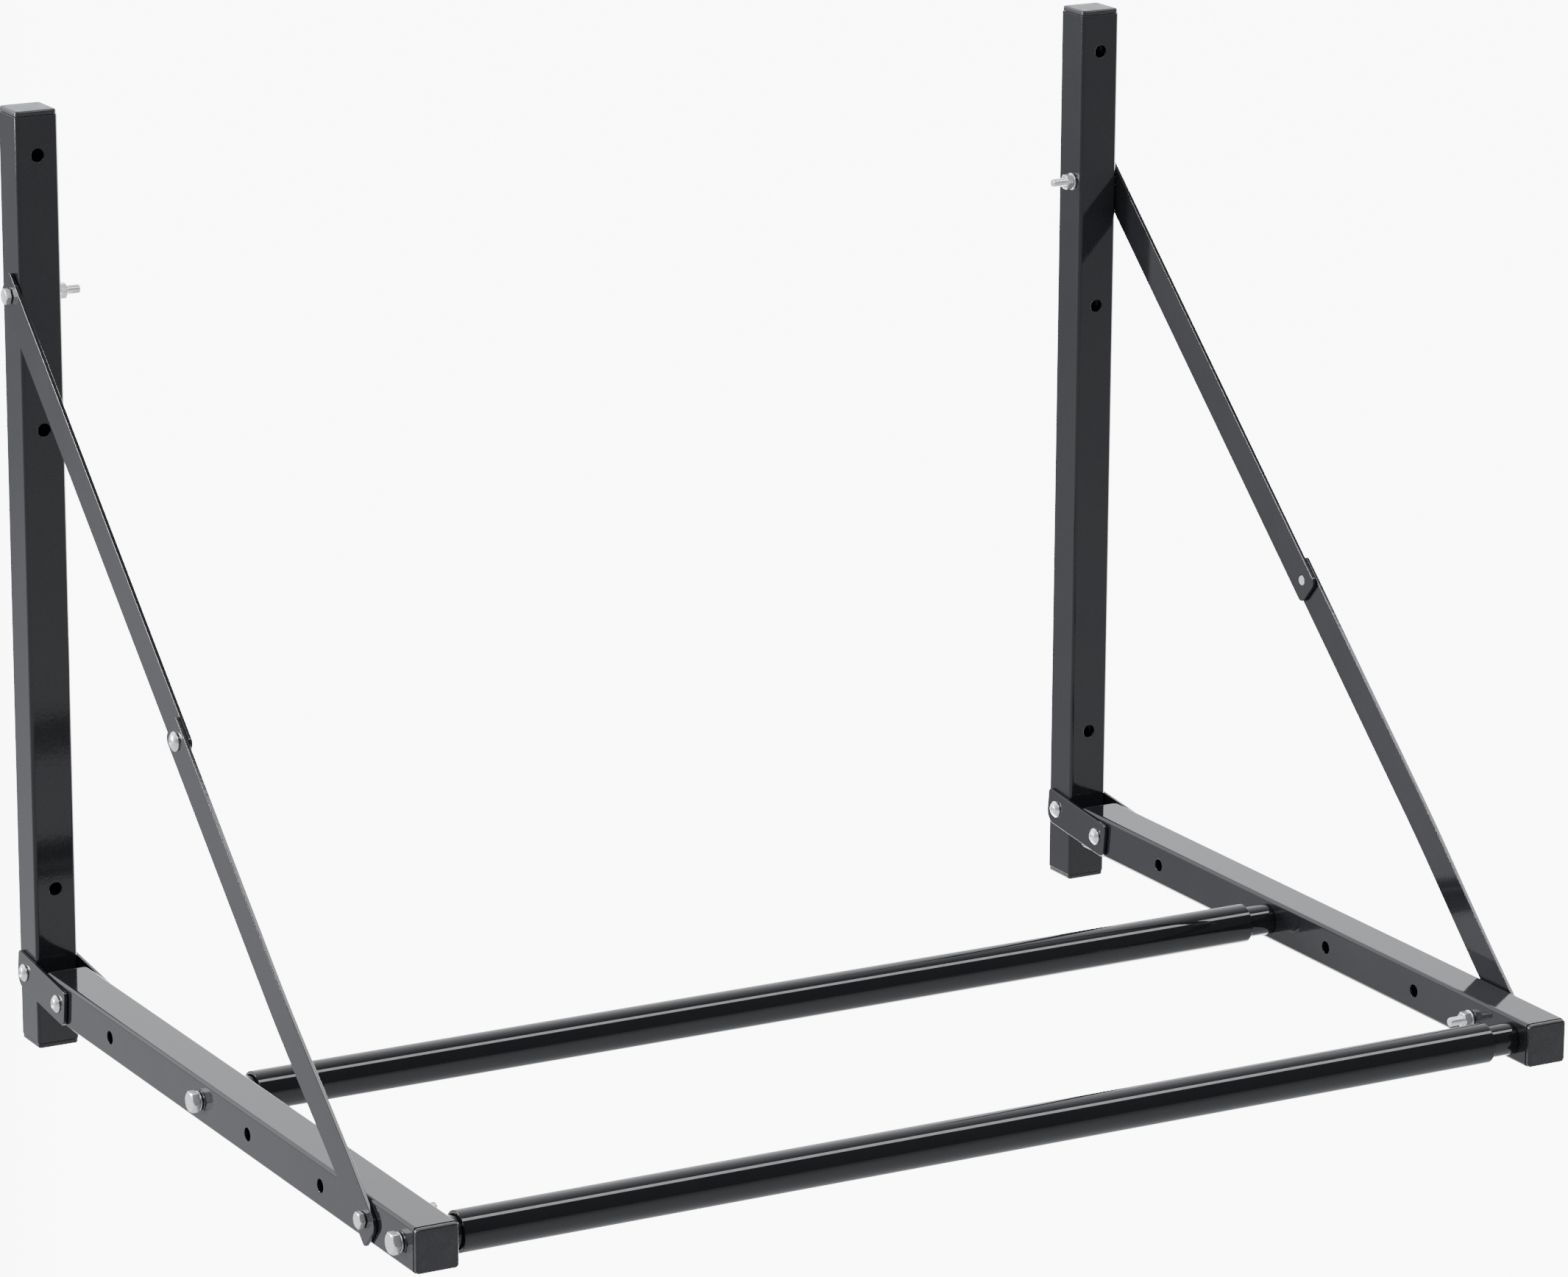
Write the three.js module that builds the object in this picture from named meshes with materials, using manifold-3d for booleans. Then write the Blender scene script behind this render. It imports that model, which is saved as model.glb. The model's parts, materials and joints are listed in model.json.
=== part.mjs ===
// A wall-mounted folding tyre storage rack.
//
// Two upright square tubes are screwed to a wall. A square-tube arm hangs on each upright between two
// hinge plates and folds up against it. A brace of two flat links holds each arm level and breaks at
// its middle rivet when the arm goes up. Two round telescopic rails join the arms and carry the tyres.
//
// Millimetres, +X along the wall to the right, +Y into the wall, +Z up. The origin is the middle of the
// left upright's wall face, at the height of the arm hinges.

import * as THREE from 'three';
import { mergeVertices } from 'three/addons/utils/BufferGeometryUtils.js';
import Module from 'manifold-3d';

const wasm = await Module();
wasm.setup();

// ---------------------------------------------------------------- driving dimensions

const GAP = 0.3;                 // between pieces that touch
const FRAME_SPACING = 816;       // between the centre planes of the two side frames

const TUBE_SIDE = 30;
const TUBE_WALL = 1.5;
const TUBE_CORNER = 2.5;
const UPRIGHT_Y = -TUBE_SIDE / 2;

const UPRIGHT_TOP = 600;
const UPRIGHT_BOTTOM = -45;
const WALL_HOLE_HEIGHTS = [570, 385, 67];
const WALL_HOLE_DIAMETER = 9;

const ARM_REAR = -45;
const ARM_FRONT = -612;
const SPARE_HOLES_Y = [-152, -369, -477];
const SPARE_HOLE_DIAMETER = 9;

const CAP_HEAD = 3.5;
const CAP_INSET = 0.4;           // the cap's head is this much smaller than the tube, each side
const CAP_PLUG = 14;
const CAP_PLUG_WALL = 2;

// Hinge plates and links are cut from the same flat bar. Each end has its overhang past the pivot and
// the radius of its corner below and above the bar's own axis, which runs from its first pivot.
const BAR_WIDTH = 25;
const BAR_THICKNESS = 2.5;
const PLATE_ENDS = [{ overhang: 12, above: 9, below: 2.5 }, { overhang: 12, above: 5, below: 3 }];
const UPPER_LINK_ENDS = [{ overhang: 11.5, above: 6.5, below: 4 }, { overhang: 11.5, above: 5, below: 5 }];
const LOWER_LINK_ENDS = [{ overhang: 13.5, above: 7, below: 3.5 }, { overhang: 11.5, above: 2.5, below: 6 }];

const HINGE_Y = -70;             // the arm's pivot, on the arm's centre line
const HINGE_RIVET_Z = 6;         // the plates' fixed rivet, on the upright's centre line
const HINGE_RIVET_SHANK = 8;
const HINGE_RIVET_HEAD = 12;
const HINGE_RIVET_DOME = 3;

const BRACE_TOP_Y = -19;         // upper pivot, far enough forward for the link to clear the wall
const BRACE_TOP_Z = 475.5;
const BRACE_FOOT_Y = -544;       // lower pivot, on the arm's centre line
const BRACE_FOOT_Z = 0;
const LINK_RIVET_SHANK = 7;
const LINK_RIVET_HEAD = 13;
const LINK_RIVET_DOME = 3.3;
const JOGGLE_START = 20;         // along the lower link, from its bolt: there it leaves the arm's face
const JOGGLE_END = 170;          // and there it lies outside the upper link

const M6 = { shank: 6, hexFlats: 10, head: 4, nut: 5, washer: 12, washerThickness: 1.2, length: 50 };
const M8 = { shank: 8, hexFlats: 13, head: 5.3, washer: 13, washerThickness: 1.2, length: 48 };

const RAIL_FRONT_Y = -590;
const RAIL_REAR_Y = -295;
const SLEEVE_DIAMETER = 27;
const SLEEVE_WALL = 2.3;
const SLEEVE_LEFT_GAP = 7.5;     // between the sleeve's ends and the arms
const SLEEVE_RIGHT_GAP = 20.5;
const INNER_TUBE_DIAMETER = 21.4;
const INNER_TUBE_WALL = 1.5;
const SPIGOT_LENGTH = 105;       // the short inner tube on the left arm
const SLIDING_TUBE_LENGTH = 410; // the long inner tube on the right arm
const INSERT_LENGTH = 20;
const INSERT_RECESS = 0.5;

const ROUND_SIDES = 16;          // facets round holes and fasteners
const RAIL_SIDES = 32;
const CORNER_STEPS = 2;
const DOME_STEPS = 3;
const JOGGLE_STEPS = 8;

// ---------------------------------------------------------------- worked out from them

const HALF_TUBE = TUBE_SIDE / 2;
const FACE = HALF_TUBE + GAP;                      // where a bar or washer on a tube's side begins
const BAR_OUTSIDE = FACE + BAR_THICKNESS;
const OUTER_LINK = BAR_OUTSIDE + GAP;              // inner face of the lower link beside the upper one
const TUBE_BORE = TUBE_SIDE - 2 * TUBE_WALL;
const THROUGH = 2 * TUBE_SIDE;                     // long enough to drill right through a tube

const braceTop = new THREE.Vector2(BRACE_TOP_Y, BRACE_TOP_Z);
const braceFoot = new THREE.Vector2(BRACE_FOOT_Y, BRACE_FOOT_Z);
const braceMiddle = braceTop.clone().add(braceFoot).multiplyScalar(0.5);
const LINK_LENGTH = braceTop.distanceTo(braceMiddle);
const LINK_ANGLE = braceTop.clone().sub(braceFoot).angle();

// ---------------------------------------------------------------- materials

const finish = (color, roughness, metalness) => (
  new THREE.MeshStandardMaterial({ color, roughness, metalness }));
const blackEnamel = () => finish(0x1b1b1d, 0.16, 0.2);
const blackPlastic = () => finish(0x202022, 0.45, 0);
const brightZinc = () => finish(0xc9cdd0, 0.3, 1);

// ---------------------------------------------------------------- solids

function solidFrom(geometry) {
  const bare = geometry.clone();
  bare.deleteAttribute('normal');
  bare.deleteAttribute('uv');
  const merged = mergeVertices(bare);
  return new wasm.Manifold(new wasm.Mesh({
    numProp: 3,
    vertProperties: Float32Array.from(merged.attributes.position.array),
    triVerts: Uint32Array.from(merged.index.array),
  }));
}

function geometryFrom(solid) {
  const { vertProperties, triVerts } = solid.getMesh();
  const geometry = new THREE.BufferGeometry();
  geometry.setAttribute('position', new THREE.BufferAttribute(new Float32Array(vertProperties), 3));
  geometry.setIndex(new THREE.BufferAttribute(new Uint32Array(triVerts), 1));
  geometry.computeVertexNormals();
  return geometry;
}

// A cylinder round the local Z axis, from z = 0 up.
function post(diameter, length, sides = ROUND_SIDES) {
  return new THREE.CylinderGeometry(diameter / 2, diameter / 2, length, sides)
    .rotateX(Math.PI / 2)
    .translate(0, 0, length / 2);
}

// Drills right through: each hole has a diameter, a point on its axis and the axis's letter.
function drill(geometry, holes) {
  let solid = solidFrom(geometry);
  for (const { diameter, at, along } of holes) {
    const bit = post(diameter, THROUGH).translate(0, 0, -THROUGH / 2);
    if (along === 'x') bit.rotateY(Math.PI / 2);
    if (along === 'y') bit.rotateX(Math.PI / 2);
    solid = solid.subtract(solidFrom(bit.translate(...at)));
  }
  return geometryFrom(solid);
}

// The four radii go round from the corner at (xMin, yMin), by way of (xMax, yMin).
function roundedRectangle([xMin, xMax], [yMin, yMax], radii, Outline = THREE.Shape) {
  const outline = new Outline();
  const centres = [
    [xMin + radii[0], yMin + radii[0]], [xMax - radii[1], yMin + radii[1]],
    [xMax - radii[2], yMax - radii[2]], [xMin + radii[3], yMax - radii[3]],
  ];
  centres.forEach(([x, y], corner) => {
    const start = Math.PI + corner * Math.PI / 2;
    outline.absarc(x, y, radii[corner], start, start + Math.PI / 2);
  });
  return outline;
}

function roundedSquare(side, radius, Outline) {
  const range = [-side / 2, side / 2];
  return roundedRectangle(range, range, [radius, radius, radius, radius], Outline);
}

function extrude(shape, depth) {
  return new THREE.ExtrudeGeometry(shape, { depth, bevelEnabled: false, curveSegments: CORNER_STEPS });
}

// A hollow square bar along the local Z axis, from z = 0 up.
function squareTube(side, wall, corner, length) {
  const shape = roundedSquare(side, corner);
  shape.holes.push(roundedSquare(side - 2 * wall, corner - wall, THREE.Path));
  return extrude(shape, length);
}

// A solid of revolution round the local Z axis, from [radius, z] points.
function turned(points, sides = ROUND_SIDES) {
  const profile = points.map(([radius, z]) => new THREE.Vector2(radius, z));
  return new THREE.LatheGeometry(profile, sides).rotateX(Math.PI / 2);
}

// A round tube or ring along the local Z axis, from z = 0 up.
function roundTube(outerDiameter, innerDiameter, length, sides = ROUND_SIDES) {
  const [outer, inner] = [outerDiameter / 2, innerDiameter / 2];
  return turned([[inner, 0], [outer, 0], [outer, length], [inner, length], [inner, 0]], sides);
}

// ---------------------------------------------------------------- sub-parts

// The upright starts at local z = 0, its bottom end.
function uprightTube() {
  const foot = UPRIGHT_BOTTOM + CAP_HEAD + GAP;
  const length = UPRIGHT_TOP - CAP_HEAD - GAP - foot;
  const holes = WALL_HOLE_HEIGHTS.map((height) => (
    { diameter: WALL_HOLE_DIAMETER, at: [0, 0, height - foot], along: 'y' }));
  const boltHole = [0, BRACE_TOP_Y - UPRIGHT_Y, BRACE_TOP_Z - foot];
  holes.push({ diameter: M6.shank + 2 * GAP, at: boltHole, along: 'x' });
  holes.push({ diameter: HINGE_RIVET_SHANK + 2 * GAP, at: [0, 0, HINGE_RIVET_Z - foot], along: 'x' });
  return drill(squareTube(TUBE_SIDE, TUBE_WALL, TUBE_CORNER, length), holes);
}

// The arm starts at local z = 0, its rear end, and runs forward.
function armTube() {
  const rear = ARM_REAR - CAP_HEAD - GAP;
  const length = rear - (ARM_FRONT + CAP_HEAD + GAP);
  const holes = SPARE_HOLES_Y.map((y) => (
    { diameter: SPARE_HOLE_DIAMETER, at: [0, 0, rear - y], along: 'x' }));
  for (const y of [RAIL_FRONT_Y, RAIL_REAR_Y]) {
    holes.push({ diameter: M8.shank + 2 * GAP, at: [0, 0, rear - y], along: 'x' });
  }
  holes.push({ diameter: M6.shank + 2 * GAP, at: [0, BRACE_FOOT_Z, rear - BRACE_FOOT_Y], along: 'x' });
  holes.push({ diameter: HINGE_RIVET_SHANK + 2 * GAP, at: [0, 0, rear - HINGE_Y], along: 'x' });
  return drill(squareTube(TUBE_SIDE, TUBE_WALL, TUBE_CORNER, length), holes);
}

// A push-in end cap: a flat head above local z = 0 and a hollow square plug below it.
function endCap() {
  const head = extrude(roundedSquare(TUBE_SIDE - 2 * CAP_INSET, TUBE_CORNER), CAP_HEAD);
  const plug = squareTube(TUBE_BORE - 2 * GAP, CAP_PLUG_WALL, CAP_PLUG_WALL + 0.5, CAP_PLUG + 1);
  plug.translate(0, 0, -CAP_PLUG);
  return geometryFrom(solidFrom(head).add(solidFrom(plug)));
}

// A flat bar along local +X with a pivot hole at each end; the first hole is at the local origin.
function bar(pivotDistance, [first, last], holeDiameters, halfThickness = BAR_THICKNESS / 2) {
  const outline = roundedRectangle([-first.overhang, pivotDistance + last.overhang],
    [-BAR_WIDTH / 2, BAR_WIDTH / 2], [first.below, last.below, last.above, first.above]);
  const blank = extrude(outline, 2 * halfThickness).translate(0, 0, -halfThickness);
  return drill(blank, holeDiameters.map((diameter, index) => (
    { diameter, at: [index * pivotDistance, 0, 0], along: 'z' })));
}

// The lower link is a bar that bends outward gently, so that it lies flat on the arm at its bolt and
// outside the upper link at the middle rivet. Local z = 0 is the arm's face; outward is +1 or -1.
function joggledLink(outward) {
  const offsetAt = (distance) => {
    const t = THREE.MathUtils.smoothstep(distance, JOGGLE_START, JOGGLE_END);
    return GAP + t * (OUTER_LINK - FACE);
  };
  const inner = [];
  const outer = [];
  const addPoint = (distance) => {
    inner.push(new THREE.Vector2(distance, outward * offsetAt(distance)));
    outer.unshift(new THREE.Vector2(distance, outward * (offsetAt(distance) + BAR_THICKNESS)));
  };
  addPoint(-BAR_WIDTH);
  for (let step = 0; step <= JOGGLE_STEPS; step += 1) {
    addPoint(THREE.MathUtils.lerp(JOGGLE_START, JOGGLE_END, step / JOGGLE_STEPS));
  }
  addPoint(LINK_LENGTH + BAR_WIDTH);
  const sideView = extrude(new THREE.Shape([...inner, ...outer]), 2 * BAR_WIDTH)
    .translate(0, 0, -BAR_WIDTH)
    .rotateX(Math.PI / 2);
  const holes = [M6.shank + 2 * GAP, LINK_RIVET_SHANK + 2 * GAP];
  const plan = bar(LINK_LENGTH, LOWER_LINK_ENDS, holes, TUBE_SIDE);
  return geometryFrom(solidFrom(sideView).intersect(solidFrom(plan)));
}

const arc = (centre, radius, start, end) => Array.from({ length: DOME_STEPS + 1 }, (_, step) => {
  const angle = THREE.MathUtils.lerp(start, end, step / DOME_STEPS);
  return [centre[0] + radius * Math.cos(angle), centre[1] + radius * Math.sin(angle)];
});

// The profile of a low dome of the given base radius and height, from its rim to its top.
function domeArc(rimRadius, baseZ, height) {
  const sphere = (rimRadius ** 2 + height ** 2) / (2 * height);
  const centre = [0, baseZ + height - sphere];
  const points = arc(centre, sphere, Math.asin((sphere - height) / sphere), Math.PI / 2);
  points[points.length - 1][0] = 0;
  return points;
}

// A hinge rivet round the local Z axis, centred on the tube, with a dome on both hinge plates.
function hingeRivet() {
  const seat = BAR_OUTSIDE + GAP;
  const [shank, rim] = [HINGE_RIVET_SHANK / 2, HINGE_RIVET_HEAD / 2];
  const upperHalf = [[shank, seat], [rim, seat], ...domeArc(rim, seat + 0.6, HINGE_RIVET_DOME - 0.6)];
  const lowerHalf = upperHalf.map(([radius, z]) => [radius, -z]).reverse();
  return turned([...lowerHalf, ...upperHalf]);
}

// The middle rivet's head, with its shank down through the lower link. Local z = 0 is the link's face.
function linkRivetHead() {
  const [shank, rim] = [LINK_RIVET_SHANK / 2, LINK_RIVET_HEAD / 2];
  return turned([
    [0, -BAR_THICKNESS], [shank, -BAR_THICKNESS], [shank, GAP], [rim, GAP],
    ...domeArc(rim, GAP + 0.8, LINK_RIVET_DOME - 0.8),
  ]);
}

// A hexagonal prism with two of its corners on the local X axis.
const hexPrism = (flats, height) =>
  post(flats / Math.cos(Math.PI / 6), height, 6).rotateZ(Math.PI / 6);

// The head is a hexagonal prism above local z = 0, the shank a post below it.
function hexBolt({ shank, hexFlats, head, length }) {
  const hex = hexPrism(hexFlats, head);
  const stem = post(shank, length + 1).translate(0, 0, -length);
  return geometryFrom(solidFrom(hex).add(solidFrom(stem)));
}

function hexNut({ shank, hexFlats, nut }) {
  return drill(hexPrism(hexFlats, nut), [
    { diameter: shank + 2 * GAP, at: [0, 0, 0], along: 'z' }]);
}

const washer = ({ shank, washer: diameter, washerThickness }) =>
  roundTube(diameter, shank + 2 * GAP, washerThickness);

// ---------------------------------------------------------------- assembly

const rack = new THREE.Group();

// In this group local X is world Y, local Y is world Z and local Z is world X, so that a piece whose
// own axis is local Z lies across the rack.
const across = new THREE.Group();
across.quaternion.setFromRotationMatrix(new THREE.Matrix4().makeBasis(
  new THREE.Vector3(0, 1, 0), new THREE.Vector3(0, 0, 1), new THREE.Vector3(1, 0, 0)));
rack.add(across);

function addMesh(group, name, geometry, material, position, rotation = [0, 0, 0]) {
  const mesh = new THREE.Mesh(geometry, material);
  mesh.name = name;
  mesh.position.set(...position);
  mesh.rotation.set(...rotation);
  group.add(mesh);
}

// Adds a piece across the rack at (y, z), the given distance outward from a frame's centre plane. Its
// local +Z points outward when facing is 1 and inward when facing is -1.
function addAcross(name, geometry, material, frame, [y, z], distance, facing = 1) {
  const turn = frame.outward * facing < 0 ? Math.PI : 0;
  addMesh(across, name, geometry, material, [y, z, frame.x + frame.outward * distance], [0, turn, 0]);
}

function addTubes(frame) {
  const { side, x } = frame;
  const [uprightFoot, uprightHead] = [UPRIGHT_BOTTOM + CAP_HEAD, UPRIGHT_TOP - CAP_HEAD];
  const [armRear, armFront] = [ARM_REAR - CAP_HEAD, ARM_FRONT + CAP_HEAD];
  const forward = [Math.PI / 2, 0, 0];
  const backward = [-Math.PI / 2, 0, 0];
  addMesh(rack, `${side}_upright`, uprightTube(), blackEnamel(), [x, UPRIGHT_Y, uprightFoot + GAP]);
  addMesh(rack, `${side}_upright_top_cap`, endCap(), blackPlastic(), [x, UPRIGHT_Y, uprightHead]);
  addMesh(rack, `${side}_upright_bottom_cap`, endCap(), blackPlastic(),
    [x, UPRIGHT_Y, uprightFoot], [Math.PI, 0, 0]);
  addMesh(rack, `${side}_arm`, armTube(), blackEnamel(), [x, armRear - GAP, 0], forward);
  addMesh(rack, `${side}_arm_front_cap`, endCap(), blackPlastic(), [x, armFront, 0], forward);
  addMesh(rack, `${side}_arm_rear_cap`, endCap(), blackPlastic(), [x, armRear, 0], backward);
}

// Two plates, riveted to the upright, hold the arm's pivot rivet ahead of it.
function addHinge(frame) {
  const { side, x, outward } = frame;
  const fixed = new THREE.Vector2(UPRIGHT_Y, HINGE_RIVET_Z);
  const pivot = new THREE.Vector2(HINGE_Y, 0);
  const reach = pivot.clone().sub(fixed);
  const hole = HINGE_RIVET_SHANK + 2 * GAP;
  const middle = FACE + BAR_THICKNESS / 2;
  for (const [name, sign] of [['outer', outward], ['inner', -outward]]) {
    const plate = bar(reach.length(), PLATE_ENDS, [hole, hole]);
    addMesh(across, `${side}_${name}_hinge_plate`, plate, blackEnamel(),
      [fixed.x, fixed.y, x + sign * middle], [0, 0, reach.angle()]);
  }
  addAcross(`${side}_upright_rivet`, hingeRivet(), brightZinc(), frame, [fixed.x, fixed.y], 0);
  addAcross(`${side}_arm_pivot_rivet`, hingeRivet(), brightZinc(), frame, [pivot.x, pivot.y], 0);
}

// A bolt from outside through a link and a tube, with a washer and a nut on the tube's inner face.
function addLinkBolt(frame, name, at) {
  const nutSeat = FACE + M6.washerThickness + GAP;
  addAcross(`${name}`, hexBolt(M6), brightZinc(), frame, at, BAR_OUTSIDE + GAP);
  addAcross(`${name}_washer`, washer(M6), brightZinc(), frame, at, -FACE, -1);
  addAcross(`${name}_nut`, hexNut(M6), brightZinc(), frame, at, -nutSeat, -1);
}

// The brace's two links, the middle rivet that joins them and the bolts at its ends.
function addBrace(frame) {
  const { side, x, outward } = frame;
  const upperHoles = [M6.shank + 2 * GAP, LINK_RIVET_SHANK + 2 * GAP];
  addMesh(across, `${side}_upper_link`, bar(LINK_LENGTH, UPPER_LINK_ENDS, upperHoles), blackEnamel(),
    [braceTop.x, braceTop.y, x + outward * (FACE + BAR_THICKNESS / 2)], [0, 0, LINK_ANGLE + Math.PI]);
  addMesh(across, `${side}_lower_link`, joggledLink(outward), blackEnamel(),
    [braceFoot.x, braceFoot.y, x + outward * HALF_TUBE], [0, 0, LINK_ANGLE]);
  addAcross(`${side}_link_rivet_head`, linkRivetHead(), brightZinc(), frame,
    [braceMiddle.x, braceMiddle.y], OUTER_LINK + BAR_THICKNESS);
  addAcross(`${side}_link_rivet_tail`, post(LINK_RIVET_SHANK, BAR_THICKNESS), brightZinc(), frame,
    [braceMiddle.x, braceMiddle.y], FACE);
  addLinkBolt(frame, `${side}_upper_bolt`, [braceTop.x, braceTop.y]);
  addLinkBolt(frame, `${side}_lower_bolt`, [braceFoot.x, braceFoot.y]);
}

// An inner tube on one arm's inner face, with the threaded insert and the bolt that hold it there.
function addRailEnd(frame, name, tubeName, y, tubeLength) {
  const bore = INNER_TUBE_DIAMETER - 2 * INNER_TUBE_WALL;
  const at = [y, 0];
  addAcross(`${name}_${tubeName}`, roundTube(INNER_TUBE_DIAMETER, bore, tubeLength, RAIL_SIDES),
    blackEnamel(), frame, at, -FACE, -1);
  addAcross(`${name}_${frame.side}_insert`, roundTube(bore - 2 * GAP, M8.shank + 2 * GAP, INSERT_LENGTH),
    brightZinc(), frame, at, -FACE - INSERT_RECESS, -1);
  addAcross(`${name}_${frame.side}_washer`, washer(M8), brightZinc(), frame, at, FACE);
  addAcross(`${name}_${frame.side}_bolt`, hexBolt(M8), brightZinc(), frame, at,
    FACE + M8.washerThickness + GAP);
}

function addRail(name, y, left, right) {
  addRailEnd(left, name, 'left_spigot', y, SPIGOT_LENGTH);
  addRailEnd(right, name, 'sliding_tube', y, SLIDING_TUBE_LENGTH);
  const start = left.x + HALF_TUBE + SLEEVE_LEFT_GAP;
  const end = right.x - HALF_TUBE - SLEEVE_RIGHT_GAP;
  const bore = SLEEVE_DIAMETER - 2 * SLEEVE_WALL;
  addMesh(across, `${name}_sleeve`, roundTube(SLEEVE_DIAMETER, bore, end - start, RAIL_SIDES),
    blackEnamel(), [y, 0, start]);
}

const leftFrame = { side: 'left', x: 0, outward: -1 };
const rightFrame = { side: 'right', x: FRAME_SPACING, outward: 1 };
for (const frame of [leftFrame, rightFrame]) {
  addTubes(frame);
  addHinge(frame);
  addBrace(frame);
}
addRail('front_rail', RAIL_FRONT_Y, leftFrame, rightFrame);
addRail('rear_rail', RAIL_REAR_Y, leftFrame, rightFrame);

export default rack;
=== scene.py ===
import json
import math

import bmesh
import bpy
import numpy as np
from mathutils import Matrix, Vector


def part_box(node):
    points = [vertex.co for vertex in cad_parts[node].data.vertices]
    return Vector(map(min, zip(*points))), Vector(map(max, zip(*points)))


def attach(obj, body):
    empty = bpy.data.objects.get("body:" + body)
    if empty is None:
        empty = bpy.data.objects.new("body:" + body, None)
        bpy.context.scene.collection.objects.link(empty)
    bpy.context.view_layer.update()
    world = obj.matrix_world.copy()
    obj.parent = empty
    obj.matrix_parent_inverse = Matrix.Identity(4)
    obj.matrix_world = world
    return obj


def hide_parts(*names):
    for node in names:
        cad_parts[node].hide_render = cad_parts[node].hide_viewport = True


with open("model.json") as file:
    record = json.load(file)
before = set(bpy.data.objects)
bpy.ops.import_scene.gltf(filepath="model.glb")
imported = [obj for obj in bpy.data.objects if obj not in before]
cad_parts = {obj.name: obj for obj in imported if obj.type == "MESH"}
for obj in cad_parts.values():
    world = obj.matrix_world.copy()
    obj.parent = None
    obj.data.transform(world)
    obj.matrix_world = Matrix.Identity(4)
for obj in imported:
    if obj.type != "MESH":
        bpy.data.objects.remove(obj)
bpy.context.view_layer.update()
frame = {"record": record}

# A wall-mounted folding tyre storage rack. Every piece is modelled here at its full fineness, in its own
# frame and in millimetres, with its own axis along local Z (a flat bar's length lies along local X), and
# then set where the CAD node it stands for is.

MM = 0.001
RECORD = frame["record"]
BODY_OF = {node: body for body, nodes in RECORD["behaviour"]["bodies"].items() for node in nodes}
SLOT_OF = {part["node"]: part["material_slot"] for part in RECORD["subparts"]}

# ---------------------------------------------------------------- dimensions, in millimetres

TUBE_SIDE = 30
TUBE_WALL = 1.5
TUBE_CORNER = 2.5
TUBE_EDGE = 0.35                   # rounding of cut ends and hole rims under the enamel
WALL_HOLE_HEIGHTS = (570, 385, 67)
WALL_HOLE_DIAMETER = 9
SPARE_HOLES_Y = (-152, -369, -477)
SPARE_HOLE_DIAMETER = 9
CLEARANCE = 0.6                    # on the diameter, round bolts and rivets
HEAD_GAP = 0.3                     # under a rivet's formed head

CAP_HEAD = 3.5
CAP_PLUG = 14
CAP_PLUG_WALL = 2
CAP_PLUG_PLAY = 0.6                # between the plug and the tube, both sides together
CAP_TOP_EDGE = 1.6
CAP_SEAM_EDGE = 0.2
CAP_CROWN = 0.12
CAP_BARB_DEPTHS = (3.5, 7.0, 10.5)
CAP_BARB = 0.2

BAR_WIDTH = 25
BAR_THICKNESS = 2.5
BAR_EDGE = 0.45
# Each end: its overhang past the pivot, and its corners' radii above and below the bar's axis.
PLATE_ENDS = ((12, 9, 2.5), (12, 5, 3))
UPPER_LINK_ENDS = ((11.5, 6.5, 4), (11.5, 5, 5))
LOWER_LINK_ENDS = ((13.5, 7, 3.5), (11.5, 2.5, 6))
JOGGLE_START = 20
JOGGLE_END = 170
JOGGLE_STEPS = 24

HINGE_RIVET_SHANK = 8
LINK_RIVET_SHANK = 7
M6 = {"shank": 6, "flats": 10, "head": 4, "pitch": 1.0, "thread": 26}
M8 = {"shank": 8, "flats": 13, "head": 5.3, "pitch": 1.25, "thread": 22}
THREAD_DEPTH = 0.61                # of the pitch
SLEEVE_WALL = 2.3
INNER_TUBE_WALL = 1.5
RAIL_EDGE = 0.5

CORNER_STEPS = 7
HOLE_SIDES = 64
ROUND_SIDES = 96
RAIL_SIDES = 160

# ---------------------------------------------------------------- camera

CAMERA_PLACE = Vector((-1.6961, -4.0887, 1.4418))
CAMERA_AZIMUTH = 29.077            # clockwise from +Y, in degrees
CAMERA_ELEVATION = -15.316
CAMERA_ROLL = 0.288
CAMERA_LENS = 155.96


def add_camera():
    azimuth, elevation, roll = (math.radians(a) for a in (CAMERA_AZIMUTH, CAMERA_ELEVATION, CAMERA_ROLL))
    ahead = Vector((math.sin(azimuth) * math.cos(elevation), math.cos(azimuth) * math.cos(elevation),
                    math.sin(elevation)))
    level = Vector((math.cos(azimuth), -math.sin(azimuth), 0))
    above = level.cross(ahead)
    right = math.cos(roll) * level + math.sin(roll) * above
    up = math.cos(roll) * above - math.sin(roll) * level
    camera = bpy.data.objects.new("camera", bpy.data.cameras.new("camera"))
    turn = Matrix((right, up, -ahead)).transposed().to_4x4()
    camera.matrix_world = Matrix.Translation(CAMERA_PLACE) @ turn
    camera.data.lens = CAMERA_LENS
    camera.data.sensor_width = 36
    camera.data.clip_end = 200
    bpy.context.scene.collection.objects.link(camera)
    bpy.context.scene.camera = camera


add_camera()

# ---------------------------------------------------------------- materials


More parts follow.
